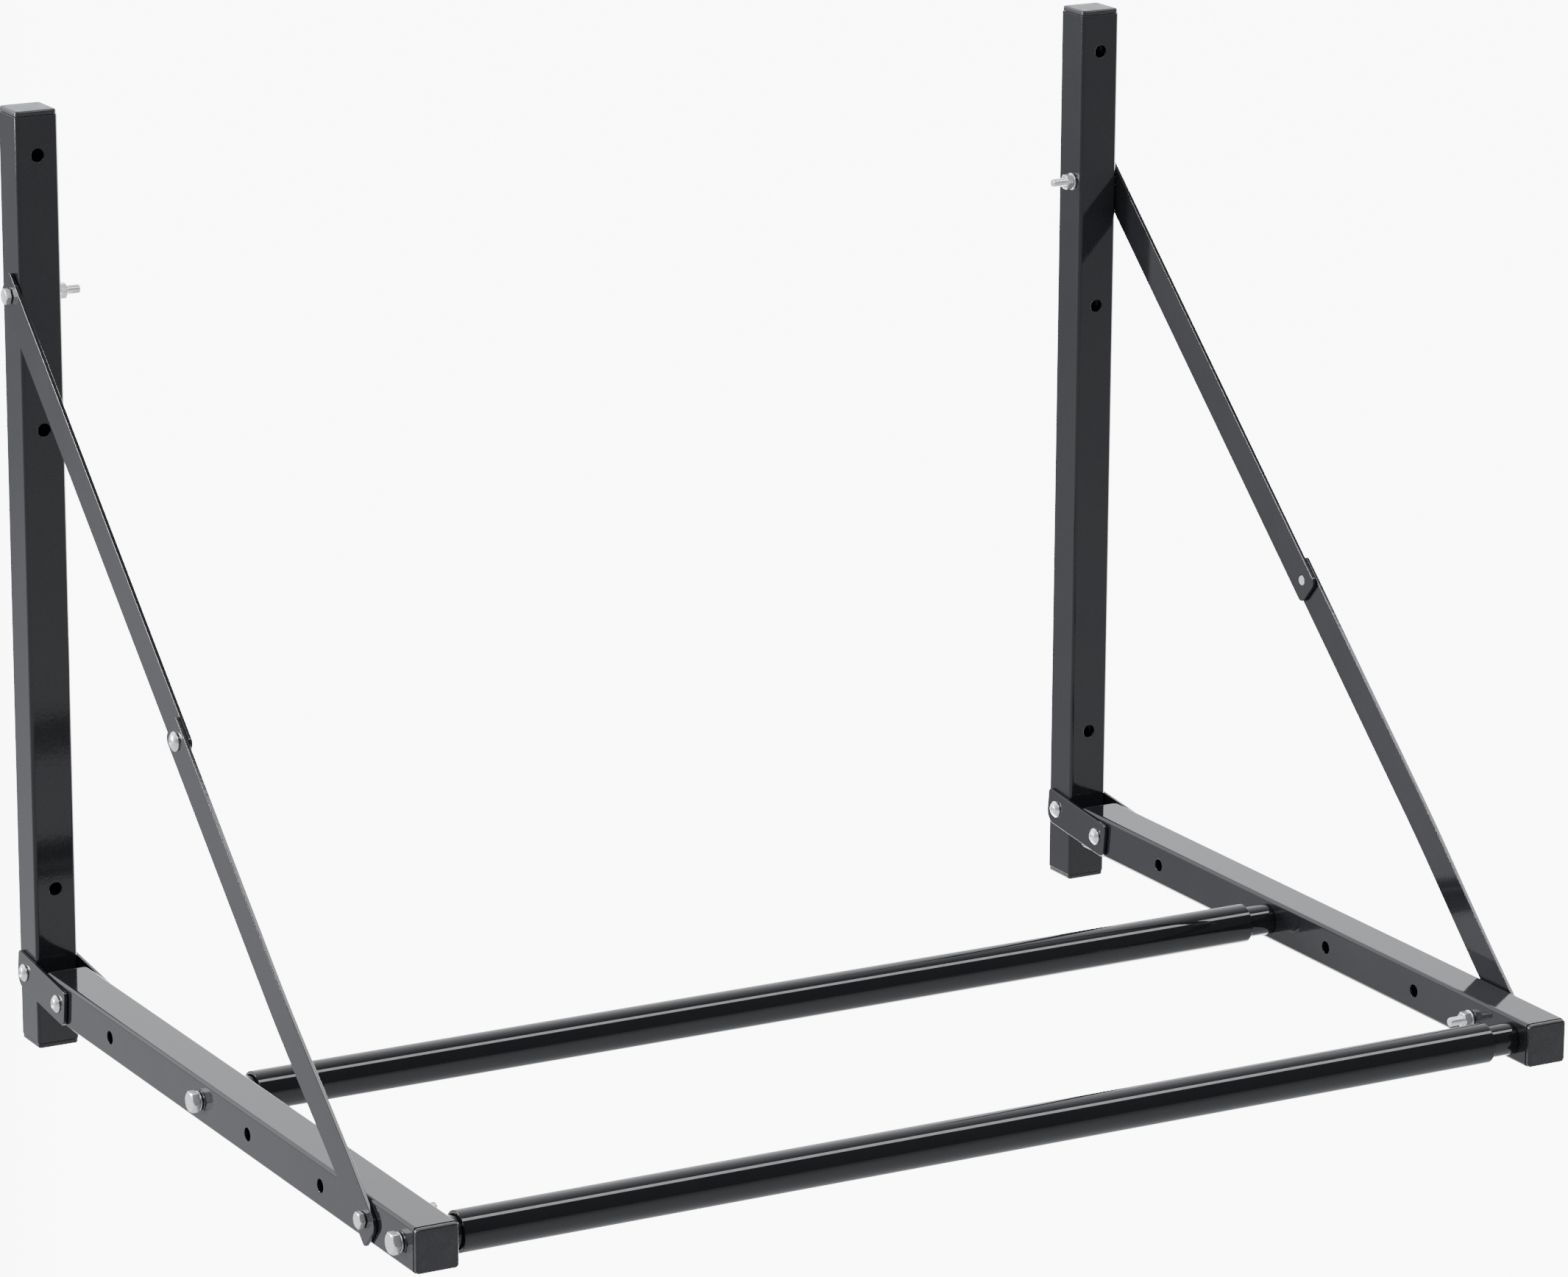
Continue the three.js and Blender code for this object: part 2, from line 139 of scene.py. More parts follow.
class Finish:
    """A Principled material and short ways to add texture nodes to it."""

    def __init__(self, name, color, roughness, metallic=0.0, ior=1.5):
        self.material = bpy.data.materials.new(name)
        self.material.use_nodes = True
        self.tree = self.material.node_tree
        self.shader = self.tree.nodes["Principled BSDF"]
        self.shader.inputs["Base Color"].default_value = (*color, 1)
        self.shader.inputs["Roughness"].default_value = roughness
        self.shader.inputs["Metallic"].default_value = metallic
        self.shader.inputs["IOR"].default_value = ior
        self.place = self.node("ShaderNodeAttribute", attribute_name="local").outputs["Vector"]
        self.normal = None

    def node(self, kind, **settings):
        node = self.tree.nodes.new(kind)
        for key, value in settings.items():
            setattr(node, key, value)
        return node

    def feed(self, socket, value):
        if isinstance(value, bpy.types.NodeSocket):
            self.tree.links.new(value, socket)
        else:
            socket.default_value = value

    def math(self, operation, first, second=0.0):
        node = self.node("ShaderNodeMath", operation=operation)
        self.feed(node.inputs[0], first)
        self.feed(node.inputs[1], second)
        return node.outputs[0]

    def stretched(self, scale):
        node = self.node("ShaderNodeMapping")
        self.feed(node.inputs["Vector"], self.place)
        node.inputs["Scale"].default_value = scale
        return node.outputs[0]

    def noise(self, wavelength, detail=2.0, stretch=(1, 1, 1), distortion=0.0):
        node = self.node("ShaderNodeTexNoise")
        self.feed(node.inputs["Vector"], self.stretched(stretch))
        node.inputs["Scale"].default_value = 1 / wavelength
        node.inputs["Detail"].default_value = detail
        node.inputs["Distortion"].default_value = distortion
        return node.outputs[0]

    def cells(self, spacing):
        node = self.node("ShaderNodeTexVoronoi")
        self.feed(node.inputs["Vector"], self.place)
        node.inputs["Scale"].default_value = 1 / spacing
        return node.outputs["Distance"]

    def spread(self, value, source, target):
        node = self.node("ShaderNodeMapRange")
        self.feed(node.inputs["Value"], value)
        for name, number in zip(("From Min", "From Max", "To Min", "To Max"), (*source, *target)):
            node.inputs[name].default_value = number
        return node.outputs[0]

    def blend(self, factor, first, second):
        node = self.node("ShaderNodeMix", data_type="RGBA")
        self.feed(node.inputs[0], factor)
        self.feed(node.inputs[6], (*first, 1) if isinstance(first, tuple) else first)
        self.feed(node.inputs[7], (*second, 1) if isinstance(second, tuple) else second)
        return node.outputs[2]

    def bump(self, height, depth):
        """Raises the surface by up to depth, in millimetres."""
        node = self.node("ShaderNodeBump")
        node.inputs["Strength"].default_value = 1.0
        node.inputs["Distance"].default_value = depth * MM
        self.feed(node.inputs["Height"], height)
        if self.normal:
            self.feed(node.inputs["Normal"], self.normal)
        self.normal = node.outputs[0]
        self.feed(self.shader.inputs["Normal"], self.normal)

    def color(self, value):
        self.feed(self.shader.inputs["Base Color"], value)

    def roughness(self, value):
        self.feed(self.shader.inputs["Roughness"], value)


def enamel(name, color, warm, roughness, peel):
    """Stove enamel over steel: orange peel, slow changes of gloss, faint wipe marks and dust nibs."""
    finish = Finish(name, color, roughness, ior=1.5)
    blotches = finish.noise(45, detail=3, distortion=0.6)
    wipes = finish.noise(2.2, detail=4, stretch=(1, 1, 0.05), distortion=0.4)
    gloss = finish.math("ADD", finish.spread(blotches, (0.3, 0.7), (-0.012, 0.02)),
                        finish.spread(wipes, (0.45, 0.8), (0, 0.02)))
    nibs = finish.spread(finish.cells(17), (0.0, 0.022), (1, 0))
    finish.roughness(finish.math("ADD", finish.math("ADD", gloss, roughness),
                                 finish.math("MULTIPLY", nibs, 0.2)))
    tone = finish.blend(finish.spread(blotches, (0.3, 0.7), (0, 1)), color, warm)
    finish.color(finish.blend(finish.math("MULTIPLY", nibs, 0.35), tone, (0.12, 0.12, 0.12)))
    finish.bump(finish.noise(3.2, detail=1.5), peel)
    finish.bump(finish.noise(0.6, detail=2), peel * 0.12)
    finish.bump(nibs, 0.03)
    return finish.material


def moulded_plastic():
    """Satin polyethylene with a fine spark-eroded grain and lighter rubbed patches."""
    finish = Finish("moulded_plastic", (0.02, 0.02, 0.021), 0.42, ior=1.48)
    rubbed = finish.spread(finish.noise(6, detail=4, distortion=1.0), (0.52, 0.75), (0, 1))
    finish.roughness(finish.spread(rubbed, (0, 1), (0.3, 0.22)))
    finish.color(finish.blend(rubbed, (0.024, 0.024, 0.0262), (0.034, 0.034, 0.037)))
    finish.bump(finish.noise(0.35, detail=3), 0.012)
    finish.bump(finish.noise(9, detail=1), 0.03)
    return finish.material


def bright_zinc():
    """Zinc plate with a clear chromate: pale blotches, fine rubbing marks and faint turning rings."""
    finish = Finish("bright_zinc", (0.9, 0.91, 0.92), 0.2, metallic=0.8)
    clouds = finish.noise(2.6, detail=4, distortion=0.8)
    finish.color(finish.blend(finish.spread(clouds, (0.35, 0.65), (0, 1)),
                              (0.97, 0.975, 0.98), (0.86, 0.87, 0.875)))
    rubs = finish.noise(0.35, detail=3, stretch=(1, 0.12, 1))
    finish.roughness(finish.math("ADD", finish.spread(clouds, (0.3, 0.7), (0.15, 0.24)),
                                 finish.spread(rubs, (0.5, 0.8), (0, 0.06))))
    split = finish.node("ShaderNodeSeparateXYZ")
    finish.feed(split.inputs[0], finish.place)
    reach = finish.math("SQRT", finish.math("ADD", finish.math("POWER", split.outputs["X"], 2.0),
                                            finish.math("POWER", split.outputs["Y"], 2.0)))
    rings = finish.math("SINE", finish.math("MULTIPLY", reach, 2 * math.pi / 0.22))
    finish.bump(rings, 0.0012)
    finish.bump(finish.noise(1.6, detail=2), 0.004)
    return finish.material


FINISHES = {
    "black_enamel": enamel("black_enamel", (0.0122, 0.0126, 0.0150), (0.0150, 0.0148, 0.0160), 0.07, 0.018),
    "rail_enamel": enamel("rail_enamel", (0.0092, 0.0096, 0.0115), (0.011, 0.0112, 0.0125), 0.05, 0.008),
    "black_plastic": moulded_plastic(),
    "bright_zinc": bright_zinc(),
}

# ---------------------------------------------------------------- outlines and rings


def rounded_outline(x_range, y_range, radii, steps=CORNER_STEPS):
    """Points round a rectangle from its lowest corner; the radii go the same way round."""
    (x0, x1), (y0, y1) = x_range, y_range
    centres = ((x0 + radii[0], y0 + radii[0]), (x1 - radii[1], y0 + radii[1]),
               (x1 - radii[2], y1 - radii[2]), (x0 + radii[3], y1 - radii[3]))
    points = []
    for corner, ((x, y), radius) in enumerate(zip(centres, radii)):
        for step in range(steps + 1):
            angle = math.pi + (corner + step / steps) * math.pi / 2
            points.append((x + radius * math.cos(angle), y + radius * math.sin(angle)))
    return np.array(points)


def square(side, radius):
    half = side / 2
    return rounded_outline((-half, half), (-half, half), (radius,) * 4)


def circle(radius, sides=ROUND_SIDES):
    angles = np.arange(sides) * 2 * math.pi / sides
    return radius * np.column_stack((np.cos(angles), np.sin(angles)))


def at(outline, height):
    return np.column_stack((outline, np.broadcast_to(height, len(outline))))


def loft(name, rings, loop=False):
    """A closed mesh through rings of equally many points, capped at both ends unless it loops."""
    count = len(rings[0])
    points = np.concatenate(rings)
    faces = []
    for first in range(len(rings) if loop else len(rings) - 1):
        low, high = first * count, (first + 1) % len(rings) * count
        for k in range(count):
            after = (k + 1) % count
            faces.append((low + k, low + after, high + after, high + k))
    if not loop:
        faces.append(tuple(reversed(range(count))))
        faces.append(tuple(range(len(points) - count, len(points))))
    mesh = bpy.data.meshes.new(name)
    mesh.from_pydata([tuple(p) for p in points], [], faces)
    shape = bmesh.new()
    shape.from_mesh(mesh)
    bmesh.ops.recalc_face_normals(shape, faces=shape.faces)
    shape.to_mesh(mesh)
    shape.free()
    return mesh


def turned(name, profile, sides=ROUND_SIDES, loop=False):
    """A solid of revolution from (radius, z) points that don't touch the axis."""
    return loft(name, [at(circle(radius, sides), z) for radius, z in profile], loop)


def quarter(radius, steps=4):
    """(inset, rise) pairs round a quarter circle, from a wall to a face across it."""
    angles = [step / steps * math.pi / 2 for step in range(steps + 1)]
    return [(radius * (1 - math.cos(a)), radius * math.sin(a)) for a in angles]


# ---------------------------------------------------------------- working on meshes


def evaluated(mesh, add_modifiers):
    """The mesh after the modifiers that add_modifiers puts on an object that holds it."""
    holder = bpy.data.objects.new("holder", mesh)
    bpy.context.scene.collection.objects.link(holder)
    add_modifiers(holder)
    graph = bpy.context.evaluated_depsgraph_get()
    result = bpy.data.meshes.new_from_object(holder.evaluated_get(graph), preserve_all_data_layers=True,
                                             depsgraph=graph)
    bpy.data.objects.remove(holder)
    return result


def drilled(mesh, holes, reach=60):
    """Cuts round holes: each is a diameter, a point on its axis and the axis's letter."""
    turns = {"x": Matrix.Rotation(math.pi / 2, 4, "Y"), "y": Matrix.Rotation(math.pi / 2, 4, "X"),
             "z": Matrix.Identity(4)}
    bits = bmesh.new()
    for diameter, point, axis in holes:
        bit = loft("bit", [at(circle(diameter / 2, HOLE_SIDES), z) for z in (-reach, reach)])
        bit.transform(Matrix.Translation(point) @ turns[axis])
        bits.from_mesh(bit)
    merged = bpy.data.meshes.new("bits")
    bits.to_mesh(merged)
    bits.free()
    cutter = bpy.data.objects.new("cutter", merged)
    bpy.context.scene.collection.objects.link(cutter)

    def add_modifiers(holder):
        cut = holder.modifiers.new("drill", "BOOLEAN")
        cut.operation = "DIFFERENCE"
        cut.solver = "EXACT"
        cut.object = cutter

    result = evaluated(mesh, add_modifiers)
    bpy.data.objects.remove(cutter)
    return result


def softened(mesh, edge=0.0):
    """Rounds the sharp edges, when an edge radius is given, and shades flat faces flat."""
    mesh.shade_smooth()
    mesh.set_sharp_from_angle(angle=math.radians(40))

    def add_modifiers(holder):
        if edge:
            bevel = holder.modifiers.new("edges", "BEVEL")
            bevel.width = edge
            bevel.segments = 3
            bevel.limit_method = "ANGLE"
            bevel.angle_limit = math.radians(40)
        normals = holder.modifiers.new("normals", "WEIGHTED_NORMAL")
        normals.keep_sharp = not edge
        normals.weight = 80

    return evaluated(mesh, add_modifiers)


def set_piece(node, mesh, place):
    """Puts a finished mesh, made in millimetres, where its CAD node is and gives it the node's finish."""
    points = np.empty(len(mesh.vertices) * 3, np.float32)
    mesh.vertices.foreach_get("co", points)
    local = mesh.attributes.new("local", "FLOAT_VECTOR", "POINT")
    local.data.foreach_set("vector", points)
    mesh.transform(place @ Matrix.Scale(MM, 4))
    mesh.materials.clear()
    mesh.materials.append(FINISHES[SLOT_OF[node]])
    piece = bpy.data.objects.new(f"{node}_piece", mesh)
    bpy.context.scene.collection.objects.link(piece)
    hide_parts(node)
    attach(piece, BODY_OF[node])


# ---------------------------------------------------------------- places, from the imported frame


def centre(node):
    low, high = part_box(node)
    return (low + high) / 2


def size(node):
    low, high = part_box(node)
    return (high - low) / MM


def frame_of(x_axis, y_axis, z_axis, origin):
    return Matrix.Translation(origin) @ Matrix((x_axis, y_axis, z_axis)).transposed().to_4x4()


def outward_frame(origin, outward):
    """Local Z points along world X times outward, and local Y points up."""
    return frame_of(Vector((0, outward, 0)), Vector((0, 0, 1)), Vector((outward, 0, 0)), origin)


def seated(node, outward):
    """The outward frame on a piece's axis, at its end nearest the tube that it sits on."""
    low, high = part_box(node)
    middle = (low + high) / 2
    seat = low.x if outward > 0 else high.x
    return outward_frame(Vector((seat, middle.y, middle.z)), outward)


UP_FRAME = (Vector((1, 0, 0)), Vector((0, 1, 0)), Vector((0, 0, 1)))
DOWN_FRAME = (Vector((1, 0, 0)), Vector((0, -1, 0)), Vector((0, 0, -1)))
FORWARD_FRAME = (Vector((1, 0, 0)), Vector((0, 0, 1)), Vector((0, -1, 0)))
BACKWARD_FRAME = (Vector((-1, 0, 0)), Vector((0, 0, 1)), Vector((0, 1, 0)))

# ---------------------------------------------------------------- square tubes and their caps


def square_tube(side, length, holes):
    outer = square(side, TUBE_CORNER)
    inner = square(side - 2 * TUBE_WALL, TUBE_CORNER - TUBE_WALL)
    blank = loft("tube", [at(outer, 0), at(outer, length), at(inner, length), at(inner, 0)], loop=True)
    return softened(drilled(blank, holes), TUBE_EDGE)


def make_upright(side):
    node = f"{side}_upright"
    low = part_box(node)[0]
    middle = centre(node)
    foot = low.z / MM
    holes = [(WALL_HOLE_DIAMETER, (0, 0, height - foot), "y") for height in WALL_HOLE_HEIGHTS]
    for pin, diameter in ((f"{side}_upper_bolt", M6["shank"]), (f"{side}_upright_rivet", HINGE_RIVET_SHANK)):
        spot = (centre(pin) - middle) / MM
        holes.append((diameter + CLEARANCE, (0, spot.y, centre(pin).z / MM - foot), "x"))
    mesh = square_tube(size(node).x, size(node).z, holes)
    set_piece(node, mesh, frame_of(*UP_FRAME, Vector((middle.x, middle.y, low.z))))


def make_arm(side):
    node = f"{side}_arm"
    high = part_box(node)[1]
    middle = centre(node)
    rear = high.y / MM
    holes = [(SPARE_HOLE_DIAMETER, (0, 0, rear - y), "x") for y in SPARE_HOLES_Y]
    pins = ((f"{side}_lower_bolt", M6["shank"]), (f"{side}_arm_pivot_rivet", HINGE_RIVET_SHANK),
            (f"front_rail_{side}_bolt", M8["shank"]), (f"rear_rail_{side}_bolt", M8["shank"]))
    for pin, diameter in pins:
        holes.append((diameter + CLEARANCE, (0, centre(pin).z / MM, rear - centre(pin).y / MM), "x"))
    mesh = square_tube(size(node).x, size(node).y, holes)
    set_piece(node, mesh, frame_of(*FORWARD_FRAME, Vector((middle.x, high.y, middle.z))))


def end_cap(head_side, plug_side):
    """A crowned head with soft edges on a hollow plug with barbs that grip the tube."""
    bore_side = plug_side - 2 * CAP_PLUG_WALL
    rings = [at(square(bore_side, 0.6), -0.4), at(square(bore_side, 0.6), -CAP_PLUG),
             at(square(plug_side - 1.2, 1.6), -CAP_PLUG), at(square(plug_side, 2.0), -CAP_PLUG + 1.2)]
    for depth in reversed(CAP_BARB_DEPTHS):
        rings += [at(square(plug_side, 2.0), -depth - 1.1),
                  at(square(plug_side + 2 * CAP_BARB, 2.2), -depth),
                  at(square(plug_side, 2.0), -depth + 0.15)]
    rings.append(at(square(plug_side, 2.0), 0))
    shoulder = CAP_HEAD - CAP_CROWN
    for inset, rise in reversed(quarter(CAP_SEAM_EDGE, 2)):
        rings.append(at(square(head_side - 2 * inset, TUBE_CORNER - inset), CAP_SEAM_EDGE - rise))
    for inset, rise in quarter(CAP_TOP_EDGE):
        corner = TUBE_CORNER - inset
        rings.append(at(square(head_side - 2 * inset, corner), shoulder - CAP_TOP_EDGE + rise))
    flat = head_side - 2 * CAP_TOP_EDGE
    for share, crown in ((0.75, 0.55), (0.45, 0.85), (0.2, 1.0)):
        rings.append(at(square(flat * share, 1.6 * share), shoulder + CAP_CROWN * crown))
    return softened(loft("cap", rings))


def make_cap(node, axes, end):
    low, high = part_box(node)
    middle = centre(node)
    head_side = size(node).x
    tip = middle + end * 0.5 * abs(end.dot(high - low))
    mesh = end_cap(head_side, TUBE_SIDE - 2 * TUBE_WALL - CAP_PLUG_PLAY)
    set_piece(node, mesh, frame_of(*axes, tip - end * CAP_HEAD * MM))


# ---------------------------------------------------------------- flat bars


def bar(length, ends, hole_diameters):
    (near, near_above, near_below), (far, far_above, far_below) = ends
    radii = (near_below, far_below, far_above, near_above)
    rings = []
    half = BAR_WIDTH / 2

    def add_ring(inset, height):
        outline = rounded_outline((inset - near, length + far - inset), (inset - half, half - inset),
                                  [radius - inset for radius in radii], steps=10)
        rings.append(at(outline, height))

    for inset, rise in reversed(quarter(BAR_EDGE, 3)):
        add_ring(inset, BAR_EDGE - rise)
    for inset, rise in quarter(BAR_EDGE, 3):
        add_ring(inset, BAR_THICKNESS - BAR_EDGE + rise)
    holes = [(diameter, (index * length, 0, 0), "z") for index, diameter in enumerate(hole_diameters)]
    mesh = drilled(loft("bar", rings), holes)
    mesh.transform(Matrix.Translation((0, 0, -BAR_THICKNESS / 2)))
    return mesh


def joggled(mesh, outward, step):
    """Bends a bar outward by step, gently, between the joggle's two ends."""
    shape = bmesh.new()
    shape.from_mesh(mesh)
    for cut in np.linspace(JOGGLE_START, JOGGLE_END, JOGGLE_STEPS):
        bmesh.ops.bisect_plane(shape, geom=shape.verts[:] + shape.edges[:] + shape.faces[:],
                               plane_co=(cut, 0, 0), plane_no=(1, 0, 0))
    for vertex in shape.verts:
        t = min(1, max(0, (vertex.co.x - JOGGLE_START) / (JOGGLE_END - JOGGLE_START)))
        vertex.co.z += outward * step * t * t * (3 - 2 * t)
    shape.to_mesh(mesh)
    shape.free()
    return mesh


def bar_frame(first, last, x):
    """Local X runs from the first pivot to the last, and local Z is world X."""
    along = (last - first)
    along.x = 0
    along.normalize()
    return frame_of(along, Vector((0, -along.z, along.y)), Vector((1, 0, 0)), Vector((x, first.y, first.z)))


def distance(first, last):
    return math.hypot(last.y - first.y, last.z - first.z) / MM


def make_bars(side, outward):
    fixed, pivot = centre(f"{side}_upright_rivet"), centre(f"{side}_arm_pivot_rivet")
    rivet_hole = HINGE_RIVET_SHANK + CLEARANCE
    for name in ("outer", "inner"):
        node = f"{side}_{name}_hinge_plate"
        mesh = bar(distance(fixed, pivot), PLATE_ENDS, (rivet_hole, rivet_hole))
        set_piece(node, softened(mesh), bar_frame(fixed, pivot, centre(node).x))
    top, foot = centre(f"{side}_upper_bolt"), centre(f"{side}_lower_bolt")
    middle = centre(f"{side}_link_rivet_head")
    holes = (M6["shank"] + CLEARANCE, LINK_RIVET_SHANK + CLEARANCE)
    upper, lower = f"{side}_upper_link", f"{side}_lower_link"
    mesh = bar(distance(top, middle), UPPER_LINK_ENDS, holes)
    set_piece(upper, softened(mesh), bar_frame(top, middle, centre(upper).x))
    low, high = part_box(lower)
    step = (high.x - low.x) / MM - BAR_THICKNESS
    start = low.x + BAR_THICKNESS / 2 * MM if outward > 0 else high.x - BAR_THICKNESS / 2 * MM
    mesh = joggled(bar(distance(foot, middle), LOWER_LINK_ENDS, holes), outward, step)
    set_piece(lower, softened(mesh), bar_frame(foot, middle, start))


# ---------------------------------------------------------------- rivets

# The shape of a formed head from its rim inwards: shares of its radius and of its height.
HINGE_HEAD = ((1.0, 0.0), (1.0, 0.2), (0.97, 0.31), (0.9, 0.45), (0.8, 0.63), (0.7, 0.79), (0.62, 0.9),
              (0.55, 0.97), (0.49, 1.0), (0.44, 0.98), (0.4, 0.9), (0.37, 0.8), (0.33, 0.74), (0.2, 0.72),
              (0.05, 0.72))
LINK_HEAD = ((1.0, 0.0), (1.0, 0.2), (0.98, 0.3), (0.93, 0.42), (0.85, 0.57), (0.75, 0.71), (0.63, 0.84),
             (0.5, 0.93), (0.38, 0.98), (0.3, 1.0), (0.26, 0.97), (0.23, 0.88), (0.2, 0.74), (0.15, 0.66),
             (0.04, 0.63))


def make_hinge_rivet(node, seat):
    """A rivet right across a tube and its two plates, with a head on each side."""
    half = size(node).x / 2
    rim = size(node).z / 2
    shank = HINGE_RIVET_SHANK / 2
    top = [(shank, seat)] + [(rim * r, seat + (half - seat) * h) for r, h in HINGE_HEAD]
    bottom = [(radius, -z) for radius, z in reversed(top)]
    set_piece(node, softened(turned("rivet", bottom + top)), outward_frame(centre(node), 1))


def make_link_rivet(side, outward):
    head, tail = f"{side}_link_rivet_head", f"{side}_link_rivet_tail"
    shank = LINK_RIVET_SHANK / 2
    rim = size(head).z / 2
    seat = BAR_THICKNESS + HEAD_GAP
    height = size(head).x - seat
    profile = [(shank - 0.3, 0), (shank, 0.3), (shank, seat)]
    profile += [(rim * r, seat + height * h) for r, h in LINK_HEAD]
    set_piece(head, softened(turned("rivet", profile)), seated(head, outward))
    thick = size(tail).x
    profile = [(shank - 0.3, 0), (shank, 0.3), (shank, thick - 0.3), (shank - 0.3, thick)]
    set_piece(tail, softened(turned("rivet_tail", profile)), seated(tail, outward))


# ---------------------------------------------------------------- bolts, nuts and washers

HEX_OFFSETS = (-2.4, 0, 2.4, 8, 15, 22.5, 30, 37.5, 45, 52)       # degrees from each corner
HEX_ANGLES = np.radians([60 * corner + offset for corner in range(6) for offset in HEX_OFFSETS])


def around(radii):
    radii = np.broadcast_to(radii, len(HEX_ANGLES))
    return np.column_stack((radii * np.cos(HEX_ANGLES), radii * np.sin(HEX_ANGLES)))


def hex_radii(flats, corner_radius=0.45):
    """How far a hexagon with rounded corners reaches at each of the angles."""
    from_corner = (HEX_ANGLES + math.pi / 6) % (math.pi / 3) - math.pi / 6
    straight = flats / 2 / np.cos(math.pi / 6 - np.abs(from_corner))
    hub = (flats / 2 - corner_radius) / math.cos(math.pi / 6)
    under_root = np.maximum(corner_radius ** 2 - (hub * np.sin(from_corner)) ** 2, 0)
    rounded = hub * np.cos(from_corner) + np.sqrt(under_root)
    return np.where(under_root > 0, np.minimum(straight, rounded), straight)


def thread_rings(bolt, start, end):
    """Rings of a helical thread along local Z, with a cone at the end."""
    crest = bolt["shank"] / 2
    depth = THREAD_DEPTH * bolt["pitch"]
    rings = []
    for z in np.arange(start, end, math.copysign(bolt["pitch"] / 8, end - start)):
        turns = (z / bolt["pitch"] - HEX_ANGLES / (2 * math.pi)) % 1
        ridge = np.clip(np.abs(2 * turns - 1) * 1.3 - 0.12, 0, 1)
        cone = crest - depth + abs(end - z) * 0.9
        rings.append(at(around(np.minimum(crest - depth * (1 - ridge), cone)), z))
    return rings


def bolt_mesh(bolt, length):
    """Its head stands on local z = 0 and its shank goes down from there."""
    shank, flats, head = bolt["shank"] / 2, bolt["flats"], bolt["head"]
    reach = hex_radii(flats)
    land = 0.47 * flats                                  # where the 30 degree chamfer meets the top
    drop = (reach - land) * math.tan(math.pi / 6)
    rings = [at(around(shank * 0.2), -length), at(around(shank * 0.78), -length)]
    rings += thread_rings(bolt, bolt["thread"] - length, -length)[::-1]
    rings += [at(around(shank - 0.08), bolt["thread"] - length + 0.6),
              at(around(shank - 0.02), bolt["thread"] - length + 1.4),
              at(around(shank), -0.5), at(around(shank + 0.35), 0),
              at(around(0.45 * flats), 0), at(around(0.455 * flats), 0.12),
              at(around(reach - 0.35), 0.2), at(around(reach - 0.1), 0.3), at(around(reach), 0.5),
              at(around(reach), head - drop - 0.12), at(around(reach - 0.06), head - drop - 0.01),
              at(around(reach - 0.16), head - drop + 0.06),
              at(around(land + 0.1), head - 0.05), at(around(land - 0.12), head),
              at(around(0.36 * flats), head - 0.02), at(around(0.32 * flats), head - 0.22),
              at(around(0.05 * flats), head - 0.28)]
    return softened(loft("bolt", rings))


def set_bolt(node, bolt, outward):
    """Sets a bolt so that its head's outer face is at the outer end of its CAD node."""
    low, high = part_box(node)
    middle = centre(node)
    seat = (high.x if outward > 0 else low.x) - outward * bolt["head"] * MM
    place = outward_frame(Vector((seat, middle.y, middle.z)), outward)
    set_piece(node, bolt_mesh(bolt, size(node).x - bolt["head"]), place)


def nut_mesh(bolt, height):
    bore, flats = bolt["shank"] / 2 + 0.05, bolt["flats"]
    reach = hex_radii(flats)
    land = 0.47 * flats
    drop = (reach - land) * math.tan(math.pi / 6)
    half = [at(around(bore), 0.6), at(around(bore + 0.5), 0), at(around(land - 0.12), 0),
            at(around(land + 0.1), 0.05), at(around(reach - 0.12), drop - 0.02),
            at(around(reach), drop + 0.14)]
    mirrored = [ring * (1, 1, -1) + (0, 0, height) for ring in reversed(half)]
    return softened(loft("nut", half + mirrored, loop=True))


def ring_mesh(outer, bore, thickness, edge, sides=ROUND_SIDES):
    """A flat or long ring with rounded outer and bore edges."""
    profile = []
    for sign, radius in ((1, outer / 2), (-1, bore / 2)):
        for base, up in ((edge, -1), (thickness - edge, 1)):
            arc = quarter(edge, 3)
            points = [(radius - sign * inset, base + up * rise) for inset, rise in arc]
            profile.append(points[::-1] if up < 0 else points)
    outer_low, outer_high, bore_low, bore_high = profile
    around_section = outer_low + outer_high + bore_high[::-1] + bore_low[::-1]
    return softened(turned("ring", around_section, sides, loop=True))


def make_link_fixings(side, outward):
    for name in (f"{side}_upper_bolt", f"{side}_lower_bolt"):
        set_bolt(name, M6, outward)
        nut, washer = f"{name}_nut", f"{name}_washer"
        set_piece(nut, nut_mesh(M6, size(nut).x), seated(nut, -outward))
        thickness, diameter = size(washer).x, size(washer).z
        mesh = ring_mesh(diameter, M6["shank"] + CLEARANCE, thickness, 0.3)
        set_piece(washer, mesh, seated(washer, -outward))


def insert_mesh(outer, bore, length):
    """A threaded insert, its outside grooved to grip the tube."""
    profile = [(bore / 2, 0.8), (bore / 2 + 0.8, 0)]
    grooves = 7
    for groove in range(grooves):
        start = 0.6 + groove * (length - 1.2) / grooves
        pitch = (length - 1.2) / grooves
        profile += [(outer / 2 - 0.5, start), (outer / 2, start + 0.3 * pitch),
                    (outer / 2, start + 0.7 * pitch), (outer / 2 - 0.5, start + 0.98 * pitch)]
    profile += [(bore / 2 + 0.8, length), (bore / 2, length - 0.8)]
    return softened(turned("insert", profile, loop=True))


# ---------------------------------------------------------------- rails


